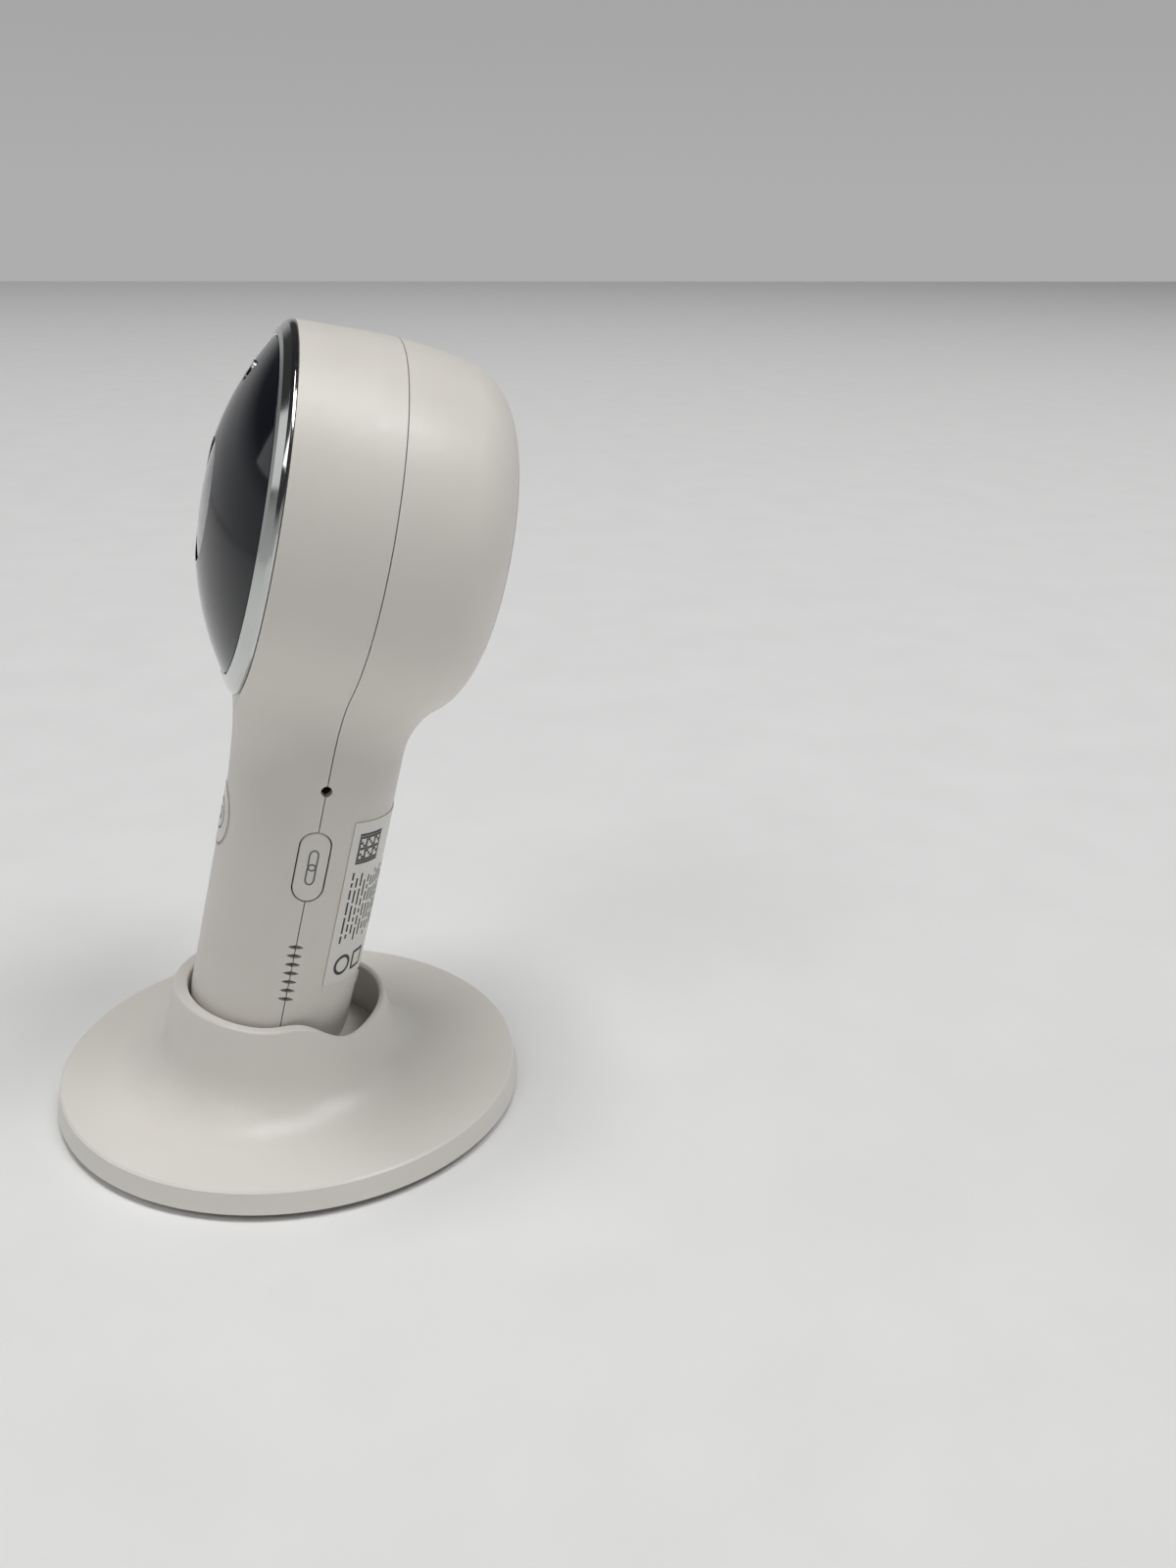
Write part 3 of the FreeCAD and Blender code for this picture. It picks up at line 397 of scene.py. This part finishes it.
# ---- Window, its port and the bright ring round it ----------------------------------------------
ring_outline = rounded([
    (28.80, 16.10, 0.0), (30.10, 16.10, 0.0), (30.10, 17.45, 0.0), (32.10, 17.45, 0.06),
    (32.10, 17.86, 0.16), (31.70, 18.42, 0.22), (30.15, 19.46, 0.30), (29.15, 19.86, 0.14),
    (28.86, 19.62, 0.12), (28.80, 18.90, 0.10),
])
finish_mesh("window_ring", lathe(ring_outline, HEAD, 256), "camera", CHROME,
            "trim_ring", 50.0)

for node, name, material, slot in (
        ("front_window", "window_dome", WINDOW, "black_window"),
        ("port_ring", "port_bezel", WINDOW, "black_window"),
        ("port_glass", "port_pane", PORT, "clear_port")):
    dome_piece = polished(node, name, "camera", material)
    dome_piece.modifiers.clear()
    true_normals(dome_piece, DOME_CENTRE,
                 (DOME_RADIUS, DOME_RADIUS - PORT_SETBACK, DOME_RADIUS - DOME_SKIN))

SENSOR = HEAD @ Matrix.Translation((0, 22.5, 0))
rim_outline = rounded([(1.52, 21.6, 0.05), (1.84, 21.6, 0.0), (1.84, 22.84, 0.1), (1.52, 22.84, 0.1)])
finish_mesh("sensor_rim", lathe(rim_outline, SENSOR, 64), "camera", CHROME, sharp=50.0)
eye_outline = [(0.0, 10.6), (1.4, 10.6)] + [
    (1.4 * math.cos(math.radians(step)), 21.5 + 0.55 * math.sin(math.radians(step)))
    for step in range(0, 91, 10)]
finish_mesh("sensor_eye", lathe(eye_outline, SENSOR, 64), "camera", RESIN,
            "light_sensor", 50.0)

barrel_outline = rounded([
    (2.60, 4.00, 0.0), (6.00, 4.00, 0.0), (6.00, 12.00, 0.0), (7.00, 12.00, 0.15), (7.00, 14.20, 0.08),
    (6.82, 14.35, 0.05), (6.82, 14.75, 0.05), (7.00, 14.90, 0.08), (7.00, 20.95, 0.3), (6.40, 21.58, 0.2),
    (5.75, 21.58, 0.15), (5.45, 20.60, 0.1), (5.32, 20.60, 0.05), (5.05, 19.30, 0.1), (2.60, 18.25, 0.1),
])
finish_mesh("lens_tube", lathe(barrel_outline, HEAD, 128), "camera", ANODISED,
            "lens_barrel", 28.0)
front_curve = [(4.95 * step / 14, 13.6 + math.sqrt(64.0 - (4.95 * step / 14) ** 2)) for step in range(15)]
glass = lathe([(0.0, 19.32)] + front_curve + [(4.95, 19.32)], HEAD, 128)
finish_mesh("front_element", glass, "camera", LENS, "front_lens", 50.0)
shroud_ring = rounded([(7.35, 20.6, 0.05), (7.95, 20.6, 0.05), (7.95, 22.0, 0.1), (7.35, 22.0, 0.1)])
finish_mesh("lens_collar", lathe(shroud_ring, HEAD, 128), "camera", BLACK, sharp=50.0)

# ---- Pair button, badge and label ----------------------------------------------------------------
button = bmesh.new()
crown = [(1.0, -2.4), (1.0, -0.42), (0.985, -0.2), (0.95, -0.05), (0.9, 0.02), (0.8, 0.05),
         (0.55, 0.075), (0.25, 0.085)]
button_rings = []
for share, out in crown:
    shrink = (1 - share) * BUTTON_WIDE
    outline = pill_points(BUTTON_WIDE - shrink, BUTTON_LONG - shrink)
    button_rings.append([button.verts.new(on_stem(x, BUTTON_RISE + y, out)) for x, y in outline])
for lower, upper in zip(button_rings, button_rings[1:]):
    for index in range(len(lower)):
        after = (index + 1) % len(lower)
        button.faces.new([lower[index], lower[after], upper[after], upper[index]])
button.faces.new(button_rings[-1])
button.faces.new(button_rings[0][::-1])
finish_mesh("pair_key", button, "button", CAP, "pair_button", 40.0)

icon = bmesh.new()
for centre in (-1.35, 1.35):
    link_line = [(x * 0.8, centre + y) for x, y in pill_points(1.9, 3.9, 10)]
    stroke(icon, on_stem, [(x, BUTTON_RISE + y) for x, y in link_line], 0.3, 0.03, 0.098)
finish_mesh("pair_mark", icon, "button", PALE_INK, sharp=50.0, weighted=False)

polished("front_badge", "badge_disc", "camera", BADGE)
badge_mark = bmesh.new()
for radius, width in ((BADGE_EDGE, 0.2), (2.9, 0.34), (1.1, 0.34)):
    line = [(x, BADGE_RISE + y) for x, y in circle_points(radius)]
    stroke(badge_mark, on_front, line, width, 0.0, 0.075)
finish_mesh("badge_mark", badge_mark, "camera", INK, sharp=50.0, weighted=False)

polished("rating_label", "label_sheet", "camera", FILM)
label_print = bmesh.new()
film_top, ink_top = 0.15, 0.215
for row in range(26):
    side = LABEL_EDGE + 1.15 * row
    rise = 18.0 + 0.8 * (row % 3)
    step = 0
    while rise < 31.5 - 1.1 * (row % 2):
        long = (1.5, 2.6, 0.9, 3.3, 1.9)[(step * 3 + row * 2) % 5]
        patch(label_print, on_stem, (side, rise), (side + 0.42, rise + long), film_top, ink_top, 1)
        rise += long + 0.55
        step += 1
for column in range(11):
    for cell in range(11):
        edge = column in (0, 10) or cell in (0, 10)
        if edge or (column * 7 + cell * 5 + column * cell) % 4 < 2:
            side, rise = LABEL_EDGE + LABEL_CELL * column, 34.1 + LABEL_CELL * cell
            patch(label_print, on_stem, (side, rise), (side + 0.5, rise + 0.5), film_top, ink_top, 1)
for mark in (circle_points(1.8, (10.4, 13.2), 32), square_points(1.7, (15.2, 13.2))):
    stroke(label_print, on_stem, mark, 0.62, film_top, ink_top)
finish_mesh("label_print", label_print, "camera", INK, sharp=50.0, weighted=False)

# ---- Back: round cover, power socket, screw ------------------------------------------------------
holes = []
for radius, count, half in ((4.4, 8, 1.15), (7.8, 14, 1.3), (11.4, 20, 1.4), (15.0, 28, 1.3)):
    for index in range(count):
        turn = 2 * math.pi * index / count
        bar = pill_points(0.95, 2 * half, 6)
        holes.append([((radius + y) * math.cos(turn) - x * math.sin(turn),
                       (radius + y) * math.sin(turn) + x * math.cos(turn)) for x, y in bar])
cover_place = BACK @ Matrix.Translation((0, 0, BACK_REACH - 0.1 - COVER_THICK / 2))
cover_rim = circle_points(COVER_RADIUS, count=128)
cover = plate_with_holes("speaker_cover", [cover_rim] + holes, COVER_THICK, 0.22, cover_place)
finish_mesh("speaker_cover", cover, "camera", SHELL, "rear_grille", 30.0)

polished("power_socket", "socket_shell", "camera", STEEL)
contacts = bmesh.new()
for index in range(5):
    middle = Vector((-1.3 + 0.65 * index, 12.0, 6.5 - 0.02))
    box = bmesh.ops.create_cube(contacts, size=1.0)["verts"]
    shape = Matrix.Translation(middle) @ Matrix.Diagonal((0.32, 2.6, 0.1, 1.0))
    bmesh.ops.transform(contacts, matrix=Matrix.Scale(MM, 4) @ CAMERA @ shape, verts=box)
bmesh.ops.bevel(contacts, geom=contacts.edges[:], offset=0.02 * MM, segments=2, affect="EDGES")
finish_mesh("socket_contacts", contacts, "camera", GOLD, sharp=50.0)


def screw(bm, place, radius, height, shank, long):
    """A round headed screw with a cross recess. Its head's top is the frame's origin, Z out."""
    arm, reach = radius * 0.17, radius * 0.62
    cross = [(arm, reach), (-arm, reach), (-arm, arm), (-reach, arm), (-reach, -arm), (-arm, -arm),
             (-arm, -reach), (arm, -reach), (arm, -arm), (reach, -arm), (reach, arm), (arm, arm)]
    top = plate_with_holes("top", [circle_points(radius, count=48), cross], height * 0.62, 0.14,
                           place @ Matrix.Translation((0, 0, -height * 0.31)))
    side, end = radius * 0.985, -height - long
    body_outline = rounded([(0.0, -height * 0.6, 0.0), (side, -height * 0.6, 0.0), (side, -height, 0.05),
                            (shank, -height, 0.0), (shank, end, 0.1), (0.0, end, 0.0)])
    below = lathe(body_outline, place, 48)
    for part in (top, below):
        mesh = bpy.data.meshes.new("part")
        part.to_mesh(mesh)
        part.free()
        bm.from_mesh(mesh)
        bpy.data.meshes.remove(mesh)


back_screw = bmesh.new()
well = CAMERA @ Matrix.Translation((0, STEM_DEEP - 1.75, SCREW_RISE))
screw(back_screw, well @ Matrix.Rotation(math.radians(-90), 4, "X"), 2.3, 1.4, 0.85, 15.0)
finish_mesh("back_screw", back_screw, "camera", STEEL, "housing_screw", 40.0)

# ---- Foot ---------------------------------------------------------------------------------------
polished("base_shell", "foot_shell", "base", FOOT, 24.0)
polished("bottom_cover", "foot_cover", "base", FOOT)
under = bmesh.new()
for index in range(4):
    turn = math.radians(45 + 90 * index)
    spot = Vector((16.0 * math.cos(turn), 16.0 * math.sin(turn) - COLLAR_SETBACK, 0.7))
    screw(under, Matrix.Translation(spot) @ Matrix.Rotation(math.pi, 4, "X"), 2.4, 0.8, 0.9, 5.2)
finish_mesh("foot_screws", under, "base", STEEL, "base_screws", 40.0)
feet = bmesh.new()
foot_outline = rounded([
    (0.0, 1.1, 0.0), (5.0, 1.1, 0.1), (5.0, 0.28, 0.25), (4.6, 0.0, 0.2), (3.7, 0.0, 0.1),
    (3.55, 0.16, 0.05), (3.3, 0.16, 0.05), (3.15, 0.0, 0.1), (0.0, 0.0, 0.0),
], 3)
for index in range(4):
    turn = math.radians(45 + 90 * index)
    spot = Vector((35.0 * math.cos(turn), 35.0 * math.sin(turn), 0))
    pad = lathe(foot_outline, Matrix.Translation(spot), 64)
    pad_mesh = bpy.data.meshes.new("pad")
    pad.to_mesh(pad_mesh)
    pad.free()
    feet.from_mesh(pad_mesh)
    bpy.data.meshes.remove(pad_mesh)
finish_mesh("foot_pads", feet, "base", RUBBER, "rubber_feet", 40.0)

# ---- Pieces that keep their CAD form -------------------------------------------------------------
for material, names in (
        (BLACK, ("lens_holder", "light_shroud", "tact_switch", "socket_tongue", "speaker")),
        (BOARD, ("main_board", "led_board", "stem_board", "power_board", "antenna")),
        (STEEL, ("board_screws", "radio_shield", "microphone", "tilt_pin", "retaining_clip",
                 "post_screws")),
        (RUBBER, ("speaker_gasket", "microphone_boot")),
        (RESIN, ("image_sensor", "infrared_leds", "temperature_sensor")),
        (NYLON, ("hinge_yoke", "hinge_post")),
        (CREAM, ("ribbon_connectors", "friction_washers")),
        (LENS, ("infrared_cut_filter",)),
        (CABLE, ("ribbon_cable",)),
        (IRON, ("ballast_plate",))):
    for node in names:
        paint(NODES[node], material)

# ---- Floor, light and camera ---------------------------------------------------------------------
floor_mesh = bpy.data.meshes.new("floor")
floor_bm = bmesh.new()
bmesh.ops.create_grid(floor_bm, x_segments=2, y_segments=2, size=2.6)
floor_bm.to_mesh(floor_mesh)
floor_bm.free()
floor = bpy.data.objects.new("floor", floor_mesh)
scene.collection.objects.link(floor)
PAPER = moulded("floor_paper", (0.79, 0.79, 0.785), (0.81, 0.81, 0.805), (0.6, 0.75), 0.00002, 1800.0)
paint(floor, PAPER)

world = bpy.data.worlds.new("studio")
world.use_nodes = True
sky = world.node_tree
towards = sky.nodes.new("ShaderNodeTexCoord")
split = sky.nodes.new("ShaderNodeSeparateXYZ")
climb = sky.nodes.new("ShaderNodeValToRGB")
stops = climb.color_ramp.elements
for position in (0.16, 0.3):
    stops.new(position)
for stop, level in zip(stops, (0.42, 0.36, 0.05, 0.02)):
    stop.color = (level, level, level * 1.01, 1)
sky.links.new(towards.outputs["Generated"], split.inputs["Vector"])
sky.links.new(split.outputs["Z"], climb.inputs["Fac"])
sky.links.new(climb.outputs["Color"], sky.nodes["Background"].inputs["Color"])
scene.world = world


def soft_light(name, place, target, size, power, colour):
    """A large rectangular light aimed at a point, metres."""
    lamp = bpy.data.lights.new(name, "AREA")
    lamp.shape = "RECTANGLE"
    lamp.size, lamp.size_y = size
    lamp.energy = power
    lamp.color = colour
    holder = bpy.data.objects.new(name, lamp)
    holder.location = place
    holder.rotation_euler = (Vector(target) - Vector(place)).to_track_quat("-Z", "Y").to_euler()
    scene.collection.objects.link(holder)


MIDDLE = (0.0, 0.0, 0.07)
soft_light("key_light", (1.4, -2.2, 3.0), MIDDLE, (1.6, 1.6), 18.0, (1.0, 1.0, 1.0))
soft_light("top_light", (0.0, 0.0, 4.0), MIDDLE, (1.6, 1.6), 80.0, (1.0, 1.0, 1.0))
soft_light("rear_light", (1.2, 1.8, 3.8), MIDDLE, (1.5, 1.5), 54.0, (1.0, 1.0, 1.0))
soft_light("front_light", (-1.2, -3.0, 1.8), MIDDLE, (1.6, 1.6), 6.0, (1.0, 1.0, 1.0))

lens = bpy.data.cameras.new("camera")
lens.lens, lens.sensor_width = 33.78, 36.0
lens.clip_start, lens.clip_end = 0.005, 50.0
view = bpy.data.objects.new("camera", lens)
view.location = (0.25764, -0.01257, 0.16651)
view.rotation_euler = Euler((math.radians(67.93), math.radians(-0.90), math.radians(74.58)), "XYZ")
scene.collection.objects.link(view)
scene.camera = view
scene.view_settings.view_transform = "Standard"
